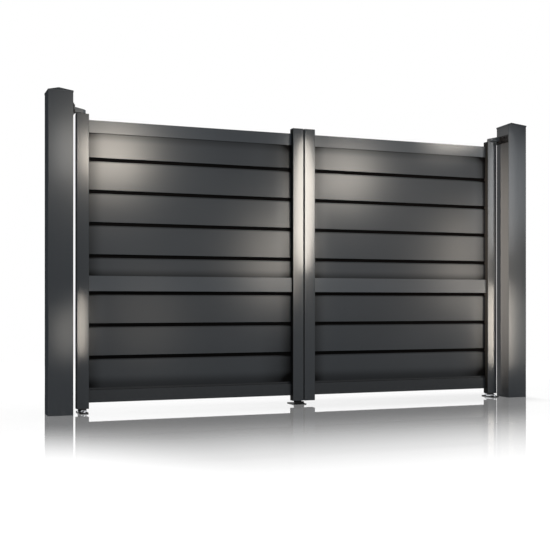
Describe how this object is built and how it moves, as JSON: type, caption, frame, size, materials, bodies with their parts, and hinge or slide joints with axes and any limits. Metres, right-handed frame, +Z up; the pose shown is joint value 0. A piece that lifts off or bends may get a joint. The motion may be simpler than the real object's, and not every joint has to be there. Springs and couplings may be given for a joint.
{
  "type": "aluminium double swing driveway gate",
  "caption": "Aluminium double swing driveway gate: square capped posts, top hinge arms, floor pivots and hollow slatted leaves that meet on a centre stop.",
  "frame": {"origin": "centre of the left post's foot face, on the ground", "axes": "+X along the gate from the left post to the right post, +Y to the rear, the way the leaves open, +Z up"},
  "size_m": [3.403, 0.2265, 1.99],
  "materials": {
    "anthracite": "satin anthracite powder coat on extruded aluminium",
    "black_steel": "satin black coated steel",
    "black_plastic": "moulded black plastic",
    "black_rubber": "moulded rubber",
    "zinc_steel": "bright zinc plated steel",
    "bare_aluminium": "mill finish aluminium plate"
  },
  "bodies": {
    "posts": {"left_post": "anthracite", "left_post_cap": "anthracite", "left_foot_plate": "bare_aluminium", "left_hinge_bracket": "black_steel", "left_hinge_arm": "anthracite", "left_floor_pivot": "black_steel", "right_post": "anthracite", "right_post_cap": "anthracite", "right_foot_plate": "bare_aluminium", "right_hinge_bracket": "black_steel", "right_hinge_arm": "anthracite", "right_floor_pivot": "black_steel", "pivot_collars": "zinc_steel", "centre_stop": "black_steel"},
    "left_leaf": {"left_hinge_stile": "anthracite", "left_meeting_stile": "anthracite", "left_top_rail": "anthracite", "left_middle_rail": "anthracite", "left_bottom_rail": "anthracite", "left_slat_1": "anthracite", "left_slat_2": "anthracite", "left_slat_3": "anthracite", "left_slat_4": "anthracite", "left_slat_5": "anthracite", "left_slat_6": "anthracite", "left_slat_7": "anthracite", "left_slat_8": "anthracite", "left_bottom_bush": "black_plastic", "left_stile_plugs": "anthracite", "left_stop_foot": "black_rubber"},
    "right_leaf": {"right_hinge_stile": "anthracite", "right_meeting_stile": "anthracite", "right_top_rail": "anthracite", "right_middle_rail": "anthracite", "right_bottom_rail": "anthracite", "right_slat_1": "anthracite", "right_slat_2": "anthracite", "right_slat_3": "anthracite", "right_slat_4": "anthracite", "right_slat_5": "anthracite", "right_slat_6": "anthracite", "right_slat_7": "anthracite", "right_slat_8": "anthracite", "right_bottom_bush": "black_plastic", "right_stile_plugs": "anthracite"}
  },
  "joints": [
    {"name": "left_leaf_hinge", "type": "hinge", "parent": "posts", "child": "left_leaf", "pos_m": [0.149, 0.048, 0.025], "axis": [0, 0, 1], "range_deg": [0, 90]},
    {"name": "right_leaf_hinge", "type": "hinge", "parent": "posts", "child": "right_leaf", "pos_m": [3.101, 0.048, 0.025], "axis": [0, 0, -1], "range_deg": [0, 90]}
  ]
}
